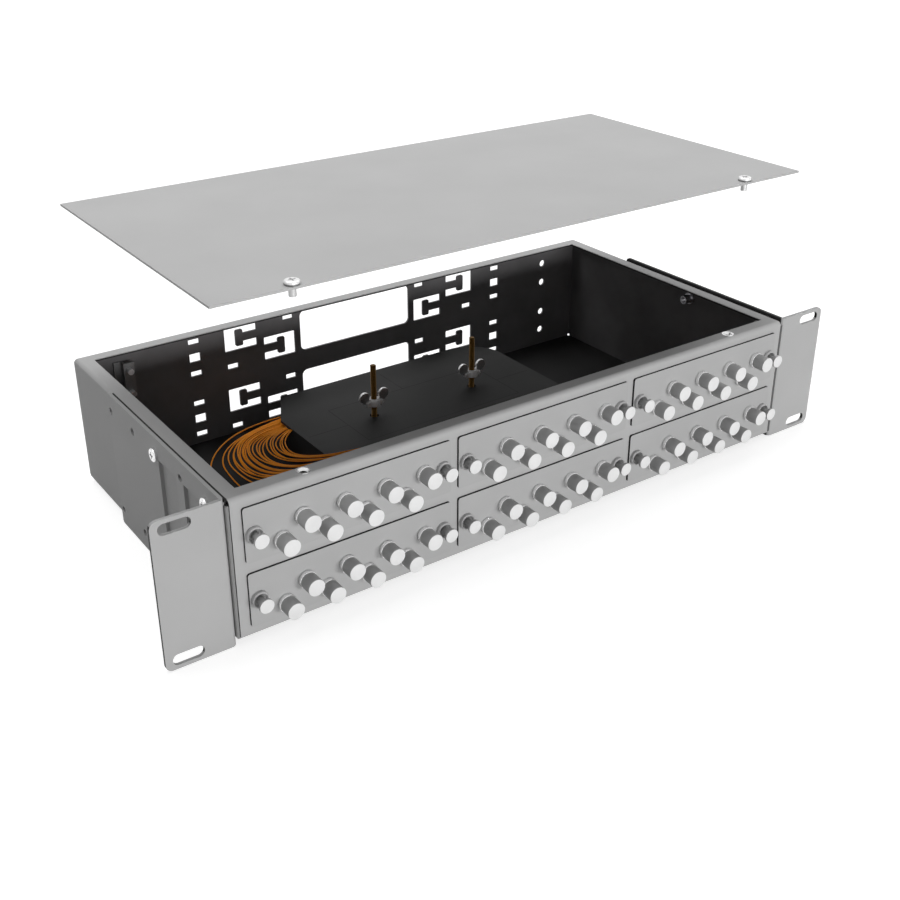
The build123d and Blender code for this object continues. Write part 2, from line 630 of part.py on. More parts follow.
def wing_nut(stud_x):
    """A wing nut: a tapered hub and two round petals, standing along X."""
    hub = turned([
        (0, 0),
        (WING_HUB_RADIUS, 0),
        (WING_HUB_RADIUS - WING_HUB_TAPER, WING_HUB_HEIGHT),
        (0, WING_HUB_HEIGHT),
    ])
    wings = Sketch()
    for side in (-1, 1):
        petal = Pos(side * WING_PETAL_X, WING_PETAL_Z) * Circle(WING_PETAL_RADIUS)
        root = Polygon(*[(side * x, z) for x, z in WING_ROOT], align=None)
        wings += petal + root
    blades = extrude(Plane.XZ * wings, WING_THICKNESS / 2, both=True)
    nut = hub + blades - Cylinder(WING_BORE_RADIUS, 4 * WING_HUB_HEIGHT)
    return Pos(stud_x, TRAY_CENTRE_Y, WING_NUT_BASE_Z) * nut


def cable_bracket():
    """A stepped bracket on the inside of the rear wall."""
    head_y = INNER_REAR_Y - BRACKET_STANDOFF
    foot_y = (INNER_REAR_Y - BRACKET_SHEET, INNER_REAR_Y)
    foot = block(BRACKET_FOOT_X, foot_y, BRACKET_Z)
    step_x = (BRACKET_HEAD_X[0], BRACKET_FOOT_X[1])
    step = block(step_x, (head_y - BRACKET_SHEET, INNER_REAR_Y), BRACKET_Z)
    head = block(BRACKET_HEAD_X, (head_y - BRACKET_SHEET, head_y), BRACKET_Z)
    bracket = foot + step + head
    for z in GLAND_HOLE_Z[:2]:
        bracket -= rod_y(-GLAND_HOLE_X, z, SCREW_RADIUS, head_y - 2 * BRACKET_SHEET, INNER_REAR_Y + 1)
    return bracket


def bracket_screws():
    """The two screws through the rear wall into the cable bracket."""
    screw = Rot(X=-90) * pan_screw(BRACKET_SCREW_LENGTH)
    return [Pos(-GLAND_HOLE_X, CASE_REAR_Y, z) * screw for z in GLAND_HOLE_Z[:2]]


def fibre_fan():
    """The loose pigtail fibres: a flat crescent from the trays round to the front connectors."""
    outer = Spline(
        (FAN_START_X, FAN_START_Y[1]),
        (FAN_LEFT_X[1], FAN_MIDDLE_Y),
        (FAN_END_X[1], FAN_END_Y),
        tangents=[(-1, -0.15), (0, -1)],
    )
    inner = Spline(
        (FAN_END_X[0], FAN_END_Y),
        (FAN_LEFT_X[0], FAN_MIDDLE_Y),
        (FAN_START_X, FAN_START_Y[0]),
        tangents=[(0, 1), (1, 0.6)],
    )
    ends = [
        Line((FAN_END_X[1], FAN_END_Y), (FAN_END_X[0], FAN_END_Y)),
        Line((FAN_START_X, FAN_START_Y[0]), (FAN_START_X, FAN_START_Y[1])),
    ]
    plan = make_face([outer, ends[0], inner, ends[1]])
    fan = extrude(plan - tray_outline(0), FAN_Z[1] - FAN_Z[0])
    trunk = block(TRUNK_X, TRUNK_Y, FAN_Z)
    rise = block(TRUNK_X, RISE_Y, (FAN_Z[0], RISE_TOP_Z))
    return Pos(0, 0, FAN_Z[0]) * fan + trunk + rise


for name, wall in case_walls().items():
    save(f"case_{name}", wall)
save("cover", cover())
save("cover_screws", *cover_screws())
save("cover_nuts", *cover_nuts())
for name, mirror in (("left", -1), ("right", 1)):
    save(f"rack_ear_{name}", rack_ear(mirror))
    save(f"ear_screws_{name}", *ear_screws(mirror))
    save(f"wall_nuts_{name}", *wall_nuts(mirror))

for index, (x, z) in enumerate(PLATE_CENTRES, start=1):
    save(f"adapter_plate_{index}", adapter_plate(x, z))
    save(f"adapters_{index}", *adapters(x, z))
    save(f"dust_caps_{index}", *dust_caps(x, z))
    save(f"plunger_{index}_left", plunger(x - PLUNGER_X, z))
    save(f"plunger_{index}_right", plunger(x + PLUNGER_X, z))
save("grommets", *[grommet for centre in PLATE_CENTRES for grommet in grommets(*centre)])
save("connectors_upper", *connectors(0))
save("connectors_lower", *connectors(1))

TRAY_HEIGHT = (LID_TOP_Z - LID_THICKNESS - FLOOR_Z) / 2
for name, bottom in (("lower", FLOOR_Z), ("upper", FLOOR_Z + TRAY_HEIGHT)):
    save(f"splice_tray_{name}", splice_tray(bottom, TRAY_HEIGHT))
    save(f"splice_holder_{name}", splice_holder(bottom + TRAY_WALL))
save("splice_tray_lid", tray_lid())
save("tray_studs", *[tray_stud(x) for x in STUD_X])
save("wing_nut_left", wing_nut(STUD_X[0]))
save("wing_nut_right", wing_nut(STUD_X[1]))
save("cable_bracket", cable_bracket())
save("bracket_screws", *bracket_screws())
save("pigtail_fibres", fibre_fan())
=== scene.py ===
import math
import random

import bmesh
import bpy
from mathutils import Matrix, Vector


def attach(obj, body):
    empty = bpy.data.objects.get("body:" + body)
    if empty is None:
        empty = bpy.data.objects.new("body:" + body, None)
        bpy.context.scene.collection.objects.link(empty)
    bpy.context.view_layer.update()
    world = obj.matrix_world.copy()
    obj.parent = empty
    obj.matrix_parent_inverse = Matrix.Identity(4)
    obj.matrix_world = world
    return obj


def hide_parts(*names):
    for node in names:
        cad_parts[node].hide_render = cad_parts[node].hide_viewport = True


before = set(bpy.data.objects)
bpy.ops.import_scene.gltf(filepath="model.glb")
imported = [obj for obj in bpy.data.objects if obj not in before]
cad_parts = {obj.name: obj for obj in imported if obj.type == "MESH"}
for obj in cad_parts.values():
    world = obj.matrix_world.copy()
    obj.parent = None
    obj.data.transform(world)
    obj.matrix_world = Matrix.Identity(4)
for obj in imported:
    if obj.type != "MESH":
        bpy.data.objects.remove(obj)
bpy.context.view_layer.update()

# Camera at the photograph's angle
CAMERA_PLACE = (-0.406187, -0.476094, 0.343144)
CAMERA_TURN = (1.1191893, -0.0007358, -0.617412)
CAMERA_LENS = 48.2794
CAMERA_SHIFT = (0.0005915, -0.055557)

camera_data = bpy.data.cameras.new("camera")
camera_data.sensor_width = 36
camera_data.lens = CAMERA_LENS
camera_data.shift_x, camera_data.shift_y = CAMERA_SHIFT
camera_data.clip_start = 0.01
camera = bpy.data.objects.new("camera", camera_data)
camera.location = CAMERA_PLACE
camera.rotation_euler = CAMERA_TURN
bpy.context.scene.collection.objects.link(camera)
bpy.context.scene.camera = camera
bpy.context.scene.view_settings.view_transform = "Standard"

CHASSIS = "chassis"
PLATES = range(1, 7)
SIDES = ("left", "right")
STUD_X = (-0.0315, 0.0485)
TRAY_Y = 0.1373
FLOOR_Z = -0.0438


# Pigtail fibres: from the trays round the left and along the front to the connectors

PLATE_PITCH = (0.1312, 0.0387)
PLATE_MID_Z = 0.0008
ADAPTER_FIRST_X = -0.0424
ADAPTER_STEP = 0.012465
ADAPTER_Z = (-0.0082, 0.0015)
BOOT_TIP_Y = 0.039
INTO_BOOT = 0.003
FIBRE = 0.0009
UPPER_JITTER = 0.0011
LOWER_JITTER = 0.001

# Where the first and the last lower fibre leave their tray, and the heights that they run at
PORT_X = (-0.0720, -0.0830)
PORT_Y = (0.0820, 0.1030)
PORT_Z = -0.0330
LOWER_LEVEL = (-0.0300, -0.0240)
draw = random.Random(7)


def plate_adapters(x, z):
    """Centres of the eight adapters of the plate with this centre, from left to right."""
    return [(x + ADAPTER_FIRST_X + step * ADAPTER_STEP, z + ADAPTER_Z[step % 2]) for step in range(8)]


def adapter_places(row):
    """Centres of one row of 24 adapters from left to right, as (x, z)."""
    z = PLATE_MID_Z + row * PLATE_PITCH[1] / 2
    return [place for column in (-1, 0, 1) for place in plate_adapters(column * PLATE_PITCH[0], z)]


def between(first, second, share):
    """The value at a share of the way from one value to another."""
    return first + (second - first) * share


def strand(name, points):
    """One fibre: a smooth curve between its two ends."""
    curve = bpy.data.curves.new(name, "CURVE")
    curve.dimensions = "3D"
    spline = curve.splines.new("NURBS")
    spline.points.add(len(points) - 1)
    for target, point in zip(spline.points, points):
        target.co = (*point, 1.0)
        target.radius = FIBRE / 2
    spline.order_u = 3
    spline.use_endpoint_u = True
    spline.resolution_u = 8
    curve.bevel_depth = 1.0
    curve.bevel_resolution = 2
    made = bpy.data.objects.new(name, curve)
    bpy.context.scene.collection.objects.link(made)
    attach(made, CHASSIS)
    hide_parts("pigtail_fibres")
    return made


def jitter(size):
    """A small random shift."""
    return Vector([draw.uniform(-size, size) for _ in range(3)])


# Control points of the upper fan in millimetres, from the innermost fibre to the outermost
FAN = (
    (0.0, ((-83, 153.5, -17.3), (-95, 147, -17.3), (-102, 124, -16.5),
           (-92, 109, -14.5), (-60, 96, -12.6))),
    (0.5, ((-79, 168, -21), (-107, 166, -20.5), (-125, 142, -19.5),
           (-123, 108, -17), (-95, 93, -14))),
    (0.87, ((-75, 178, -22), (-107, 175, -21.5), (-132, 150, -20.5),
            (-136, 112, -18), (-122, 93, -15))),
    (0.957, ((-74, 180, -22), (-106, 178, -22), (-139, 152, -21),
             (-144.5, 112, -19), (-147, 85, -15))),
    (1.0, ((-73.5, 181.5, -22), (-104, 181, -22), (-142, 158, -22),
           (-157, 120, -20), (-158, 85, -16))),
)


def fan_points(share):
    """The first control points of one fibre, between its two neighbours in FAN."""
    for (low, first), (high, second) in zip(FAN, FAN[1:]):
        if share <= high:
            part = (share - low) / (high - low)
            return [(Vector(a) * (1 - part) + Vector(b) * part) / 1000 for a, b in zip(first, second)]


def upper_route(share, x, z):
    """From the upper tray's rear left corner round the left, then over the lid's front edge."""
    points = fan_points(share)
    last = points[-1].x
    points += [
        Vector((between(last, x, 0.5), 0.082, -0.0135)),
        Vector((between(last, x, 0.92), 0.066, -0.005)),
        Vector((x, 0.049, z - 0.006)),
        Vector((x, BOOT_TIP_Y + 0.0035, z)),
        Vector((x, BOOT_TIP_Y - INTO_BOOT, z)),
    ]
    for index in range(1, 7):
        points[index] += jitter(UPPER_JITTER)
    return points


def lower_route(share, x, z):
    """From the lower tray's front left corner to the lower connectors."""
    start_x = between(*PORT_X, share)
    start_y = between(*PORT_Y, share)
    level = between(*LOWER_LEVEL, draw.random())
    side = 1 if x > start_x else -1
    out = Vector((start_x - 0.018, start_y - 0.003, PORT_Z))
    reach = abs(x - out.x)
    points = [
        Vector((start_x + 0.004, start_y + 0.003, PORT_Z)),
        out,
        Vector((out.x - 0.006 + side * 0.004, between(0.060, 0.066, share), -0.0310)),
        Vector((out.x + side * reach * 0.3, between(0.061, 0.068, draw.random()), level)),
        Vector((out.x + side * reach * 0.7, between(0.058, 0.064, draw.random()), level)),
        Vector((x - side * min(0.014, reach * 0.2), 0.0590, between(level, z, 0.6))),
        Vector((x, BOOT_TIP_Y + 0.0105, z)),
        Vector((x, BOOT_TIP_Y - INTO_BOOT, z)),
    ]
    for index in range(2, 5):
        points[index] += jitter(LOWER_JITTER)
    return points


fibres = []
for label, row, route in (("upper", 1, upper_route), ("lower", -1, lower_route)):
    places = adapter_places(row)
    for index, (x, z) in enumerate(reversed(places)):
        share = index / (len(places) - 1)
        fibres.append(strand(f"fibre_{label}_{index + 1:02d}", route(share, x, z)))

# Materials: tones, and shares of a tone

OUTSIDE = (0.46, 0.46, 0.46)
# The case's inside tone: part its own dark paint, part painted shade
INSIDE_TONE_AND_SHADE = (0.044, 0.043, 0.044)
# Near black for the plates' cut edges, part bare edge and part painted shade, and for every painted
# shade mask
EDGE_AND_SHADE = (0.03, 0.03, 0.03)
# The outer side walls darker than the front: painted shade
LEFT_WALL_PAINTED_SHADE = 0.82
RIGHT_WALL_PAINTED_SHADE = 0.85
# An ear's side darker than its front: painted shade
EAR_SIDE_PAINTED_SHADE = 0.85
# Shares of the inside tone by wall: painted light on the rear and right walls, painted shade on the
# floor
REAR_INSIDE_PAINTED_LIGHT = 4.2
RIGHT_INSIDE_PAINTED_LIGHT = 3.3
FLOOR_INSIDE_PAINTED_SHADE = 0.35
PAINT_DRIFT = (0.025, 22)
INSIDE_DRIFT = (0.15, 30)
FACING = 0.7

# The folded case's outer box and bend in metres, for the two tones of its paint: outside, and a dark
# inside that is partly painted shade
CASE_MIDDLE = (0.0, 0.1055, 0.0008)
CASE_HALF = (0.202, 0.106, 0.0415)
CASE_BEND = 0.002
PAINT_EDGE = 0.0005

# Painted shade: on the side walls' front ends and how dark each is, in the bend beside the left ear,
# and behind the two rows of holes through an ear's side
WALL_END_X = 0.2003
WALL_END_SHADE = (0.5, 0.8)
GROOVE_X = -0.1999
EAR_SHEET = 0.0021
EAR_REACH = 0.150
HOLE_FIRST_Y = 0.018
HOLE_PITCH = 0.032
HOLE_Z = 0.033
HOLE_RADIUS = 0.0023

# Tones of a cover screw by its height in units of a fifth of a metre: shank, a painted shadow at the
# foot of the head, head
HEAD_SCALE = 5.0
SCREW_TONES_AND_SHADOW = (
    (0.7164, (0.55, 0.55, 0.55)), (0.7166, (0.03, 0.03, 0.03)), (0.7205, (0.03, 0.03, 0.03)),
    (0.722, (0.8, 0.8, 0.8)),
)

# Seams of the tray lid in millimetres, as (lowest x, highest x, lowest y, highest y)
LID_SEAMS = (
    (-53, 68.5, 161, 161), (-53, 68.5, 109.5, 109.5), (-53, -53, 109.5, 161), (68.5, 68.5, 109.5, 161),
    (-82, -53, 134.8, 134.8), (68.5, 96, 135.2, 135.2), (6.5, 6.5, 161, 190), (6, 66, 104.8, 104.8),
    (6, 6, 104.8, 109.5),
)
SEAM = 0.0003
LID_TONE = (0.027, 0.027, 0.027)
SEAM_TONE = (0.008, 0.008, 0.008)


def new_material(name, roughness=0.5, metallic=0.0, specular=0.5):
    """A material with the shader's own constant values set on its sockets."""
    material = bpy.data.materials.new(name)
    material.use_nodes = True
    shader = material.node_tree.nodes["Principled BSDF"]
    shader.inputs["Roughness"].default_value = roughness
    shader.inputs["Metallic"].default_value = metallic
    shader.inputs["Specular IOR Level"].default_value = specular
    return material, material.node_tree, shader


def node(tree, kind, values=(), **settings):
    """A node with its settings, and its inputs linked or set in order."""
    made = tree.nodes.new(kind)
    for key, value in settings.items():
        setattr(made, key, value)
    for key, value in dict(values).items():
        if isinstance(value, bpy.types.NodeSocket):
            tree.links.new(value, made.inputs[key])
        else:
            made.inputs[key].default_value = value
    return made


def math_node(tree, operation, first, second=0.0, third=0.0):
    """The result of a sum on sockets or numbers."""
    made = node(tree, "ShaderNodeMath", {0: first, 1: second, 2: third}, operation=operation)
    return made.outputs[0]


def place(tree):
    """The piece's own coordinates, in metres."""
    return node(tree, "ShaderNodeTexCoord").outputs["Object"]


def coordinate(tree, axis):
    """One of the piece's own coordinates, in metres."""
    return node(tree, "ShaderNodeSeparateXYZ", {0: place(tree)}).outputs[axis]


def direction(tree, axis):
    """How far a surface looks along an axis of the piece, from minus one to one."""
    normal = node(tree, "ShaderNodeTexCoord").outputs["Normal"]
    return node(tree, "ShaderNodeSeparateXYZ", {0: normal}).outputs[axis]


def noise(tree, scale, detail=3.0):
    """Soft noise over the piece's own coordinates."""
    values = {"Vector": place(tree), "Scale": scale, "Detail": detail, "Roughness": 0.5}
    return node(tree, "ShaderNodeTexNoise", values).outputs["Fac"]


def ramp(tree, factor, stops):
    """A colour ramp through (position, colour) stops."""
    made = node(tree, "ShaderNodeValToRGB", {0: factor})
    elements = made.color_ramp.elements
    while len(elements) < len(stops):
        elements.new(0.5)
    for element, (position, colour) in zip(elements, stops):
        element.position = position
        element.color = (*colour, 1.0)
    return made.outputs["Color"]


def mixed(tree, factor, first, second):
    """The first colour where the factor is zero, and the second where it is one."""
    values = {0: factor}
    for key, colour in ((6, first), (7, second)):
        values[key] = colour if isinstance(colour, bpy.types.NodeSocket) else (*colour, 1.0)
    return node(tree, "ShaderNodeMix", values, data_type="RGBA").outputs[2]


def bumped(tree, shader, height, strength, distance):
    """Give a shader a fine relief."""
    values = {"Height": height, "Strength": strength, "Distance": distance}
    made = node(tree, "ShaderNodeBump", values)
    tree.links.new(made.outputs["Normal"], shader.inputs["Normal"])


def scaled(colour, factor):
    """A lighter or darker colour."""
    return tuple(min(1.0, channel * factor) for channel in colour)


def tinted(tree, colour, spread, scale):
    """A colour that drifts a little over the surface."""
    drift = noise(tree, scale)
    low = scaled(colour, 1 - spread)
    high = scaled(colour, 1 + spread)
    return ramp(tree, drift, [(0.3, low), (0.7, high)])


def link_colour(tree, shader, colour):
    tree.links.new(colour, shader.inputs["Base Color"])


def both(tree, *masks):
    """The product of masks."""
    product = masks[0]
    for mask in masks[1:]:
        product = math_node(tree, "MULTIPLY", product, mask)
    return product


def inner_mask(tree):
    """One on the inside of the folded case, and zero on its outer faces and bends."""
    shifted = node(tree, "ShaderNodeVectorMath", {0: place(tree), 1: CASE_MIDDLE}, operation="SUBTRACT")
    away = node(tree, "ShaderNodeVectorMath", {0: shifted.outputs[0]}, operation="ABSOLUTE")
    core = tuple(half - CASE_BEND for half in CASE_HALF)
    past = node(tree, "ShaderNodeVectorMath", {0: away.outputs[0], 1: core}, operation="SUBTRACT")
    kept = node(tree, "ShaderNodeVectorMath", {0: past.outputs[0], 1: (0, 0, 0)}, operation="MAXIMUM")
    reach = node(tree, "ShaderNodeVectorMath", {0: kept.outputs[0]}, operation="LENGTH")
    return math_node(tree, "LESS_THAN", reach.outputs["Value"], CASE_BEND - PAINT_EDGE)


def facing(tree, axis, least=FACING):
    """One on the faces that look along an axis of the piece, and zero on the others."""
    return math_node(tree, "GREATER_THAN", math_node(tree, "ABSOLUTE", direction(tree, axis)), least)


def cut_edge_shade(tree):
    """One on the cut edges of an ear's front that don't look up, where shade is painted on these thin
    faces, and zero elsewhere.
    """
    across = math_node(tree, "LESS_THAN", math_node(tree, "ABSOLUTE", direction(tree, 1)), 0.5)
    low = math_node(tree, "LESS_THAN", direction(tree, 2), 0.5)
    front = math_node(tree, "LESS_THAN", coordinate(tree, 1), EAR_SHEET)
    return both(tree, across, low, front)


def wall_end_shade(tree):
    """The share of painted shade on the front ends of the case's side walls, in the gap beside each
    ear, and zero between them.
    """
    left = math_node(tree, "LESS_THAN", coordinate(tree, 0), -WALL_END_X)
    right = math_node(tree, "GREATER_THAN", coordinate(tree, 0), WALL_END_X)
    left = math_node(tree, "MULTIPLY", left, WALL_END_SHADE[0])
    right = math_node(tree, "MULTIPLY", right, WALL_END_SHADE[1])
    return both(tree, facing(tree, 1), math_node(tree, "MAXIMUM", left, right))


def groove_shade(tree):
    """One on the bend of the left flange beside the ear, where a shadow is painted, and zero elsewhere.
    """
    beside = math_node(tree, "LESS_THAN", coordinate(tree, 0), GROOVE_X)
    behind = math_node(tree, "GREATER_THAN", coordinate(tree, 1), EAR_SHEET)
    before = math_node(tree, "LESS_THAN", coordinate(tree, 1), EAR_REACH)
    return both(tree, beside, behind, before)


def hole_shade(tree):
    """One on the case's side wall behind the holes of an ear, where shade is painted, and zero beside
    them.
    """
    along = math_node(tree, "SUBTRACT", coordinate(tree, 1), HOLE_FIRST_Y - HOLE_PITCH / 2)
    along = math_node(tree, "FLOORED_MODULO", along, HOLE_PITCH)
    along = math_node(tree, "SUBTRACT", along, HOLE_PITCH / 2)
    up = math_node(tree, "SUBTRACT", math_node(tree, "ABSOLUTE", coordinate(tree, 2)), HOLE_Z)
    away = math_node(tree, "MULTIPLY_ADD", along, along, math_node(tree, "MULTIPLY", up, up))
    near = math_node(tree, "LESS_THAN", away, HOLE_RADIUS**2)
    return both(tree, near, math_node(tree, "LESS_THAN", coordinate(tree, 1), EAR_REACH))


def shaded_top(tree):
    """One on the top edge and the inner face of the right ear's side, and zero elsewhere."""
    inward = math_node(tree, "LESS_THAN", direction(tree, 0), -FACING)
    upward = math_node(tree, "GREATER_THAN", direction(tree, 2), FACING)
    side = math_node(tree, "GREATER_THAN", coordinate(tree, 1), EAR_SHEET)
    return both(tree, math_node(tree, "MAXIMUM", upward, inward), side)


def paint(name, colour, edge=None, inside=None, ear=False, dark=()):
    """Powder paint: a fine orange peel and a slow drift, with other tones where given.

    A tone for the cut edges of a plate, part bare edge and part painted shade; one for the inside of
    the case, part its own dark paint and part painted shade; a painted shade on an ear's side;
    and masks of the places where shade is painted.
    """
    material, tree, shader = new_material(name, 0.6, specular=0.15)
    surface = tinted(tree, colour, *PAINT_DRIFT)
    if edge:
        surface = mixed(tree, facing(tree, 1, 0.5), edge, surface)
    if ear:
        # The ear's side faces take a darker copy of the tone: painted shade
        side = tinted(tree, scaled(colour, EAR_SIDE_PAINTED_SHADE), *PAINT_DRIFT)
        surface = mixed(tree, facing(tree, 0), surface, side)
    # Each mask lays near black where shade is painted
    for mask in dark:
        surface = mixed(tree, mask(tree), surface, EDGE_AND_SHADE)
    if inside:
        surface = mixed(tree, inner_mask(tree), surface, tinted(tree, inside, *INSIDE_DRIFT))
    link_colour(tree, shader, surface)
    bumped(tree, shader, noise(tree, 1400, 2.0), 0.12, 0.00005)
    return material


def plastic(name, colour, roughness=0.45, spread=0.03, grain=2600, strength=0.08, sides=None):
    """Moulded plastic with a fine spark-eroded grain, and a darker tone on its sides where given, as
    painted shade.
    """
    material, tree, shader = new_material(name, roughness, specular=0.25)
    surface = tinted(tree, colour, spread, 90)
    if sides:
        surface = mixed(tree, facing(tree, 1), tinted(tree, sides, spread, 90), surface)
    link_colour(tree, shader, surface)
    bumped(tree, shader, noise(tree, grain, 2.0), strength, 0.00004)
    return material


def seam_mask(tree):
    """One on the lid's straight seams, and zero beside them."""
    parts = node(tree, "ShaderNodeSeparateXYZ", {0: place(tree)})
    mask = 0.0
    for left, right, front, rear in LID_SEAMS:
        on_seam = 1.0
        for axis, low, high in ((0, left, right), (1, front, rear)):
            away = math_node(tree, "SUBTRACT", parts.outputs[axis], (low + high) / 2000)
            away = math_node(tree, "ABSOLUTE", away)
            near = math_node(tree, "LESS_THAN", away, (high - low) / 2000 + SEAM)
            on_seam = math_node(tree, "MULTIPLY", near, on_seam)
        mask = math_node(tree, "MAXIMUM", on_seam, mask)
    return mask


def zinc(name, colour, roughness=0.3, spread=0.12, grain=700, metallic=1.0, flats=None):
    """Zinc plating: a cloudy tone, fine tool marks, and another tone on its flats where given, so that
    the lighter rims beside them are a painted highlight.
    """
    material, tree, shader = new_material(name, roughness, metallic)
    surface = tinted(tree, colour, spread, grain)
    if flats:
        surface = mixed(tree, facing(tree, 1, 0.97), surface, tinted(tree, flats, spread, grain))
    link_colour(tree, shader, surface)
    bumped(tree, shader, noise(tree, 3000, 3.0), 0.1, 0.00003)
    return material


def lid_plastic(name):
    """The tray lid's plastic, with its seams."""
    material, tree, shader = new_material(name, 0.6, specular=0.25)
    seam = seam_mask(tree)
    link_colour(tree, shader, mixed(tree, seam, tinted(tree, LID_TONE, 0.12, 25), SEAM_TONE))
    bumped(tree, shader, math_node(tree, "SUBTRACT", noise(tree, 1800, 2.0), seam), 0.2, 0.00005)
    return material


def screw_zinc(name):
    """Zinc whose tone goes by height, so that a screw's shank shows before a white background, with a
    painted shadow at the foot of the head.
    """
    material, tree, shader = new_material(name, 0.35, 0.4)
    height = math_node(tree, "MULTIPLY", coordinate(tree, 2), HEAD_SCALE)
    link_colour(tree, shader, ramp(tree, height, SCREW_TONES_AND_SHADOW))
    return material


# Ears: painted shade on the sides and cut edges, and on the right ear's top edge and inner face
ear_paint = paint("ear_paint", OUTSIDE, ear=True, dark=[cut_edge_shade])
right_ear_paint = paint("right_ear_paint", OUTSIDE, ear=True, dark=[cut_edge_shade, shaded_top])
# Flange: the dark inside tone, and a painted shadow in the bend beside the left ear
flange_paint = paint("flange_paint", OUTSIDE, inside=INSIDE_TONE_AND_SHADE, dark=[groove_shade])
# Front: painted shade on the side walls' front ends
front_paint = paint("front_paint", OUTSIDE, inside=INSIDE_TONE_AND_SHADE, dark=[wall_end_shade])
# Side walls: a darker outer tone and near black patches behind the ear holes, both painted shade
left_wall_paint = paint(
    "left_wall_paint", scaled(OUTSIDE, LEFT_WALL_PAINTED_SHADE), inside=INSIDE_TONE_AND_SHADE, dark=[hole_shade]
)
right_wall_paint = paint(
    "right_wall_paint", scaled(OUTSIDE, RIGHT_WALL_PAINTED_SHADE), inside=scaled(INSIDE_TONE_AND_SHADE, RIGHT_INSIDE_PAINTED_LIGHT),
    dark=[hole_shade],
)
# Rear wall and floor: the inside tone lightened as painted light on the rear and darkened as painted
# shade on the floor
rear_wall_paint = paint("rear_wall_paint", OUTSIDE, inside=scaled(INSIDE_TONE_AND_SHADE, REAR_INSIDE_PAINTED_LIGHT))
floor_paint = paint("floor_paint", OUTSIDE, inside=scaled(INSIDE_TONE_AND_SHADE, FLOOR_INSIDE_PAINTED_SHADE))
cover_paint = paint("cover_paint", (0.49, 0.49, 0.49))
# Plates: cut edges near black, part bare sheared edge and part painted shade of the gap
plate_paint = paint("plate_paint", (0.44, 0.44, 0.44), edge=EDGE_AND_SHADE)
# Dust caps and knobs: white faces, with grey sides and necks as painted shade
cap_white_shaded_sides = plastic("cap_white_shaded_sides", (0.82, 0.82, 0.82), sides=(0.4, 0.4, 0.4))
ring_nickel = zinc("ring_nickel", (0.95, 0.95, 0.95), 0.2, 0.04, metallic=0.8)
grommet_grey = plastic("grommet_grey", (0.48, 0.48, 0.48))
tray_black = plastic("tray_black", (0.026, 0.026, 0.026), 0.6, 0.06, 1800, 0.15)
lid_black = lid_plastic("lid_black")
boot_black = plastic("boot_black", (0.03, 0.03, 0.03), 0.6)
holder_white = plastic("holder_white", (0.6, 0.6, 0.6))
bright_zinc = zinc("bright_zinc", (0.75, 0.75, 0.75), 0.25)
grey_zinc = zinc("grey_zinc", (0.5, 0.5, 0.52), 0.35)
dull_zinc = zinc("dull_zinc", (0.22, 0.22, 0.222), 0.5, metallic=0.3)
cover_zinc = screw_zinc("cover_zinc")
bolt_zinc = zinc("bolt_zinc", (0.6, 0.6, 0.61), 0.45, metallic=0.6)
hub_zinc = zinc("hub_zinc", (0.75, 0.75, 0.76), 0.4, metallic=0.15)
# Wing nut petals: light rims as a painted highlight, grey flats
wing_zinc_rim_highlight = zinc("wing_zinc_rim_highlight", (0.9, 0.9, 0.91), 0.3, metallic=0.7, flats=(0.4, 0.4, 0.405))
brass_zinc = zinc("brass_zinc", (0.19, 0.1, 0.017), 0.5, metallic=0.5)
adapter_nickel = zinc("adapter_nickel", (0.55, 0.55, 0.56), 0.3)
orange_jacket = plastic("orange_jacket", (0.8, 0.27, 0.012), 0.45)

# Pieces in more detail than their solids

STEPS = 40
TO_FRONT = Matrix.Rotation(math.pi / 2, 4, "X")
TO_BACK = Matrix.Rotation(-math.pi / 2, 4, "X")
HALF_TURN = Matrix.Rotation(math.pi, 4, "Z")
PLATE_FRONT_Y = -0.002
ADAPTER_REAR_Y = 0.009
PLUNGER_X = 0.0576
WING_BASE_Z = -0.0082
STUD_TOP_Z = 0.0208
THREAD_PITCH = 0.0007
THREAD_STEPS = 20
SHARP_ANGLE = math.radians(35)


def lathe(profile, steps=STEPS, flutes=0.0):
    """A body of revolution about Z from (radius, height) points in millimetres, closed at both ends."""
    points = []
    for radius, height in profile:
        for step in range(steps):
            angle = 2 * math.pi * step / steps
            reach = (radius - flutes * (step % 2)) / 1000
            points.append((reach * math.cos(angle), reach * math.sin(angle), height / 1000))
    sides = []
    for ring in range(len(profile) - 1):
        for step in range(steps):
            low = ring * steps + step
            next_low = ring * steps + (step + 1) % steps
            sides.append((low, next_low, next_low + steps, low + steps))
    last = (len(profile) - 1) * steps
    sides.append(tuple(reversed(range(steps))))
    sides.append(tuple(range(last, last + steps)))
    return points, sides


def tube(profile, steps=STEPS):
    """A hollow body of revolution about Z: the profile's last point joins its first."""
    points, sides = lathe(profile + profile[:1], steps)
    return points, sides[:-2]


def thread(radius, root, bottom, top):
    """The skin of a screw thread about Z with flat crests, open at both ends."""
    points, sides = [], []
    steps = THREAD_STEPS
    around = math.ceil((top - bottom) / THREAD_PITCH) * steps
    shape = ((0.0, root), (0.3, radius), (0.55, radius), (0.85, root))
    for step in range(around + 1):
        angle = 2 * math.pi * step / steps
        for rise, reach in shape:
            height = min(top, bottom + (step / steps + rise) * THREAD_PITCH)
            points.append((reach * math.cos(angle), reach * math.sin(angle), height))
    count = len(shape)
    for step in range(around):
        for corner in range(count - 1):
            low = step * count + corner
            sides.append((low, low + count, low + count + 1, low + 1))
        above = (step + steps) * count
        if above + count < len(points):
            low = step * count + count - 1
            sides.append((low, low + count, above + count, above))
    return points, sides


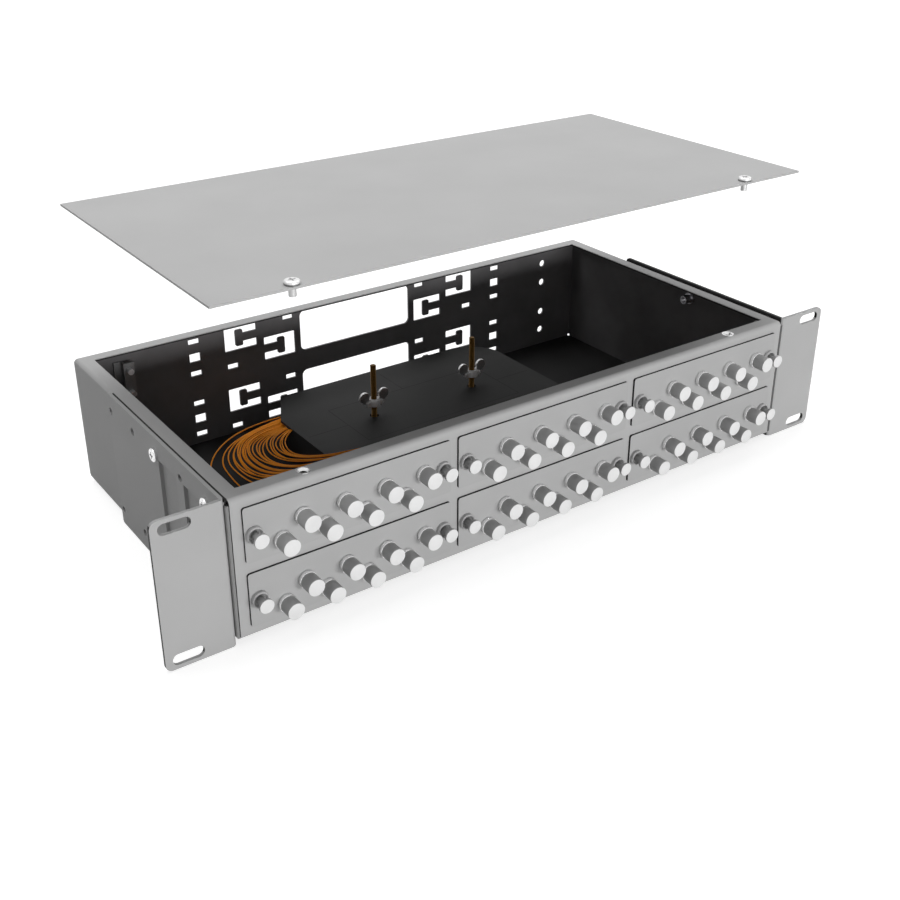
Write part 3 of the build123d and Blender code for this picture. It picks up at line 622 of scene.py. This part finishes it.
def slab(outline, low, high, bevel):
    """A plate between two heights from an outline, with its upper and lower rims rounded."""
    made = bmesh.new()
    corners = [made.verts.new((x, y, low)) for x, y in outline]
    face = made.faces.new(corners)
    grown = bmesh.ops.extrude_face_region(made, geom=[face])["geom"]
    moved = [item for item in grown if isinstance(item, bmesh.types.BMVert)]
    bmesh.ops.translate(made, verts=moved, vec=(0, 0, high - low))
    rims = [edge for edge in made.edges if abs(edge.verts[0].co.z - edge.verts[1].co.z) < 1e-6]
    bmesh.ops.bevel(made, geom=rims, offset=bevel, segments=3, profile=0.5, affect="EDGES")
    bmesh.ops.recalc_face_normals(made, faces=made.faces)
    made.verts.index_update()
    points = [tuple(corner.co) for corner in made.verts]
    sides = [tuple(corner.index for corner in side.verts) for side in made.faces]
    made.free()
    return points, sides


def piece(name, forms, materials, body, finish, *replaced):
    """One piece from forms, each with its placing and the index of its material."""
    corners, faces, chosen = [], [], []
    for (points, sides), placing, material_index in forms:
        start = len(corners)
        corners += [placing @ Vector(point) for point in points]
        faces += [[start + corner for corner in side] for side in sides]
        chosen += [material_index] * len(sides)
    mesh = bpy.data.meshes.new(name)
    mesh.from_pydata(corners, [], faces)
    for material in materials:
        mesh.materials.append(material)
    mesh.polygons.foreach_set("material_index", chosen)
    mesh.shade_smooth()
    mesh.set_sharp_from_angle(angle=SHARP_ANGLE)
    made = bpy.data.objects.new(name, mesh)
    bpy.context.scene.collection.objects.link(made)
    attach(made, body)
    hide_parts(*replaced)
    return made


def plate_places():
    """Centre of each adapter plate, as (number, x, z)."""
    for number in PLATES:
        row = 0 if number <= 3 else 1
        column = (number - 1) % 3 - 1
        yield number, column * PLATE_PITCH[0], PLATE_MID_Z + (0.5 - row) * PLATE_PITCH[1]


# Profiles in millimetres from the plate's front, or from the adapters' rear, as (radius, height)
RING = tube([
    (4.0, 0), (4.75, 0), (4.75, 0.3), (5.0, 0.35), (5.1, 0.5), (5.1, 2.55), (4.95, 2.7), (4.0, 2.7),
])
CAP = lathe([
    (4.3, 2.7), (4.3, 3.05), (4.82, 3.1), (4.87, 3.2), (4.87, 10.9), (4.81, 11.04), (4.7, 11.1),
])
BARREL = lathe(
    [(4.0, 0.0), (4.0, 3.2)]
    + [point for turn in range(9) for point in ((3.72, 3.4 + turn * 0.8), (4.0, 3.7 + turn * 0.8))]
    + [(3.7, 11.0)],
    24,
)
NUT = lathe([(4.5, 0), (4.8, 0.4), (4.8, 7.4), (4.5, 8.0), (2.6, 8.0)], 48, 0.18)
BOOT = lathe(
    [(2.6, 7.9), (2.6, 10.0)]
    + [
        point
        for rib in range(7)
        for point in ((2.2 - rib * 0.11, 10.3 + rib * 2.4), (2.2 - rib * 0.11, 11.2 + rib * 2.4),
                      (2.55 - rib * 0.14, 11.4 + rib * 2.4), (2.55 - rib * 0.14, 12.4 + rib * 2.4))
    ]
    + [(1.4, 28.0), (1.4, 29.8), (1.25, 30.0)],
    20,
)
GROMMET = tube([
    (2.08, 0.9), (2.9, 0.9), (3.25, 1.05), (3.8, 2.15), (4.0, 2.38), (4.35, 2.4), (4.62, 2.25),
    (4.8, 1.95), (4.8, 0.25), (4.65, 0), (3.0, 0), (3.0, -6.0), (2.08, -6.0),
])
HEAD = lathe([(3.5, 6.9), (3.95, 7.05), (4.1, 7.35), (4.1, 8.72), (4.04, 8.84), (3.92, 8.9)])
NECK = lathe([(1.6, -7.5), (2.0, -7.0), (2.0, 6.95)], 24)


def front_copies(form, places_xz, index=0, turn=TO_FRONT, y=PLATE_FRONT_Y):
    """A form set at each place along the front."""
    return [(form, Matrix.Translation((x, y, z)) @ turn, index) for x, z in places_xz]


for number, x, z in plate_places():
    holes = plate_adapters(x, z)
    rings = front_copies(RING, holes)
    barrels = front_copies(BARREL, holes, 1, TO_BACK)
    piece(
        f"adapter_bodies_{number}", rings + barrels, [ring_nickel, adapter_nickel], CHASSIS,
        "adapter_metal", f"adapters_{number}",
    )
    piece(
        f"round_caps_{number}", front_copies(CAP, holes), [cap_white_shaded_sides], CHASSIS, "white_plastic",
        f"dust_caps_{number}",
    )
    for side, sign in zip(SIDES, (-1, 1)):
        here = [(x + sign * PLUNGER_X, z)]
        knob = front_copies(HEAD, here) + front_copies(NECK, here)
        solid = f"plunger_{number}_{side}"
        piece(f"knob_{number}_{side}", knob, [cap_white_shaded_sides], solid, "white_plastic", solid)

collars = [(x + sign * PLUNGER_X, z) for _, x, z in plate_places() for sign in (-1, 1)]
piece("collars", front_copies(GROMMET, collars), [grommet_grey], CHASSIS, "grey_plastic", "grommets")

for label, row in (("upper", 1), ("lower", -1)):
    ends = adapter_places(row)
    forms = front_copies(NUT, ends, 0, TO_BACK, ADAPTER_REAR_Y)
    forms += front_copies(BOOT, ends, 0, TO_BACK, ADAPTER_REAR_Y)
    piece(f"ribbed_boots_{label}", forms, [boot_black], CHASSIS, "black_boot", f"connectors_{label}")

STUD_SHAPE = thread(0.00195, 0.00162, -0.021, STUD_TOP_Z - 0.0004)
STUD_END = lathe([(1.62, 20.0), (1.62, 20.45), (1.2, 20.8)], 20)
STUD_FOOT = lathe([(3.4, -40.7), (3.4, -39.9), (1.95, -39.9), (1.95, -20.8), (1.6, -20.6)], 20)
studs = []
for x in STUD_X:
    at = Matrix.Translation((x, TRAY_Y, 0))
    studs += [(STUD_SHAPE, at, 0), (STUD_END, at, 0), (STUD_FOOT, at, 0)]
piece("threaded_studs", studs, [brass_zinc], CHASSIS, "yellow_zinc", "tray_studs")

# Wing nut: a petal's outline in millimetres from the nut's base, and its round top
PETAL_MIDDLE = (7.3, 6.9)
PETAL_RADIUS = 3.8
PETAL_TURN = (-50, 205)
PETAL_STEPS = 24
petal = [(2.6, 0.8), (6.2, 1.2)]
for step in range(PETAL_STEPS + 1):
    angle = math.radians(between(*PETAL_TURN, step / PETAL_STEPS))
    petal.append((
        PETAL_MIDDLE[0] + PETAL_RADIUS * math.cos(angle),
        PETAL_MIDDLE[1] + PETAL_RADIUS * math.sin(angle),
    ))
petal.append((2.6, 3.9))
base = [
    (-5.6, 0.0), (5.6, 0.0), (6.5, 1.2), (6.2, 3.0), (4.2, 3.9), (-4.2, 3.9), (-6.2, 3.0), (-6.5, 1.2),
]
BASE = slab([(x / 1000, z / 1000) for x, z in base], -0.0021, 0.0021, 0.0006)
PETAL = slab([(x / 1000, z / 1000) for x, z in petal], -0.0009, 0.0009, 0.00035)
HUB = tube([(3.95, 0), (4.2, 0.25), (3.6, 4.6), (3.3, 5.0), (2.3, 5.0), (2.0, 4.7), (2.0, 0)])
for side, x in zip(SIDES, STUD_X):
    at = Matrix.Translation((x, TRAY_Y, WING_BASE_Z))
    forms = [(HUB, at, 1), (BASE, at @ TO_FRONT, 1)]
    forms += [(PETAL, at @ TO_FRONT, 0), (PETAL, at @ HALF_TURN @ TO_FRONT, 0)]
    solid = f"wing_nut_{side}"
    piece(f"butterfly_{side}", forms, [wing_zinc_rim_highlight, hub_zinc], solid, "zinc_grey", solid)

# Materials of the pieces that keep their solids
DRESS = {
    "case_floor": floor_paint,
    "case_front": front_paint,
    "case_rear": rear_wall_paint,
    "case_left": left_wall_paint,
    "case_right": right_wall_paint,
    "case_flanges": flange_paint,
    "rack_ear_left": ear_paint,
    "rack_ear_right": right_ear_paint,
    "cover": cover_paint,
    "cover_screws": cover_zinc,
    "cover_nuts": bright_zinc,
    "splice_tray_lower": tray_black,
    "splice_tray_upper": tray_black,
    "splice_tray_lid": lid_black,
    "splice_holder_lower": holder_white,
    "splice_holder_upper": holder_white,
    "cable_bracket": dull_zinc,
    "bracket_screws": bolt_zinc,
}
for side in SIDES:
    DRESS[f"ear_screws_{side}"] = bright_zinc
    DRESS[f"wall_nuts_{side}"] = grey_zinc
for number in PLATES:
    DRESS[f"adapter_plate_{number}"] = plate_paint

for fibre in fibres:
    fibre.data.materials.append(orange_jacket)
for name, material in DRESS.items():
    for material_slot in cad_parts[name].material_slots:
        material_slot.material = material

# Light, floor and background

WORLD_LIGHT = 0.19
WHITE = (1, 1, 1, 1)
FLOOR_TONE = (0.45, 0.45, 0.45, 1)
FLOOR_REACH = 6

# The floor's own glow by the distance from the part: it rises outwards, up to the white behind it
GLOW = {"From Min": 0.7, "From Max": 1.6, "To Min": 0.78, "To Max": 1.0}

# Lamps, as (name, place, point that it looks at, width and height, power)
LAMPS = (
    ("key", (0.05, -2.35, 0.1), (0, 0.05, 0), (1.2, 0.34), 42),
    ("top", (0.1, 0.8, 2.2), (0, 0.1, 0), (1.0, 1.0), 20),
    ("right", (1.1, 0.25, 1.6), (0.1, 0.1, 0), (0.8, 0.8), 9),
    ("left", (-1.1, 0.3, 1.6), (-0.1, 0.1, 0), (0.8, 0.8), 8),
)


def lamp(name, place_at, aim, size, power):
    """An area lamp of a width and a height that looks at a point."""
    data = bpy.data.lights.new(name, "AREA")
    data.shape = "RECTANGLE"
    data.size, data.size_y = size
    data.energy = power
    made = bpy.data.objects.new(name, data)
    made.location = place_at
    made.rotation_euler = (Vector(aim) - Vector(place_at)).to_track_quat("-Z", "Y").to_euler()
    bpy.context.scene.collection.objects.link(made)


def seen_white(tree):
    """One for rays from the camera and for mirrored or refracted ones."""
    path = node(tree, "ShaderNodeLightPath")
    shiny = math_node(
        tree, "MAXIMUM", path.outputs["Is Glossy Ray"], path.outputs["Is Transmission Ray"]
    )
    return math_node(tree, "MAXIMUM", path.outputs["Is Camera Ray"], shiny)


def cleared(owner):
    """The empty node tree of a world or a material."""
    owner.use_nodes = True
    owner.node_tree.nodes.clear()
    return owner.node_tree


def studio_world():
    """A dim even light on the object, and white behind it."""
    world = bpy.data.worlds.new("studio")
    bpy.context.scene.world = world
    tree = cleared(world)
    soft = node(tree, "ShaderNodeBackground", {"Color": WHITE, "Strength": WORLD_LIGHT})
    white = node(tree, "ShaderNodeBackground", {"Color": WHITE, "Strength": 1.0})
    values = {0: seen_white(tree), 1: soft.outputs[0], 2: white.outputs[0]}
    choice = node(tree, "ShaderNodeMixShader", values)
    node(tree, "ShaderNodeOutputWorld", {0: choice.outputs[0]})


def floor_white():
    """A pale floor that keeps the shadow and fades into the white behind it."""
    material = bpy.data.materials.new("floor_white")
    tree = cleared(material)
    matt = node(tree, "ShaderNodeBsdfDiffuse", {"Color": FLOOR_TONE})
    spot = node(tree, "ShaderNodeVectorMath", {0: place(tree)}, operation="LENGTH").outputs["Value"]
    farther = node(tree, "ShaderNodeMapRange", {"Value": spot, **GLOW}, interpolation_type="SMOOTHSTEP")
    glow = node(tree, "ShaderNodeEmission", {"Color": WHITE, "Strength": farther.outputs["Result"]})
    pale = node(tree, "ShaderNodeAddShader", {0: matt.outputs[0], 1: glow.outputs[0]})
    values = {0: seen_white(tree), 1: matt.outputs[0], 2: pale.outputs[0]}
    choice = node(tree, "ShaderNodeMixShader", values)
    node(tree, "ShaderNodeOutputMaterial", {0: choice.outputs[0]})
    return material


def studio_floor():
    """A large square under the part."""
    mesh = bpy.data.meshes.new("floor")
    build = bmesh.new()
    bmesh.ops.create_grid(build, x_segments=2, y_segments=2, size=FLOOR_REACH)
    build.to_mesh(mesh)
    build.free()
    floor = bpy.data.objects.new("floor", mesh)
    floor.location = (0, 0, FLOOR_Z)
    bpy.context.scene.collection.objects.link(floor)
    mesh.materials.append(floor_white())


studio_world()
for values in LAMPS:
    lamp(*values)
studio_floor()

bpy.context.view_layer.update()
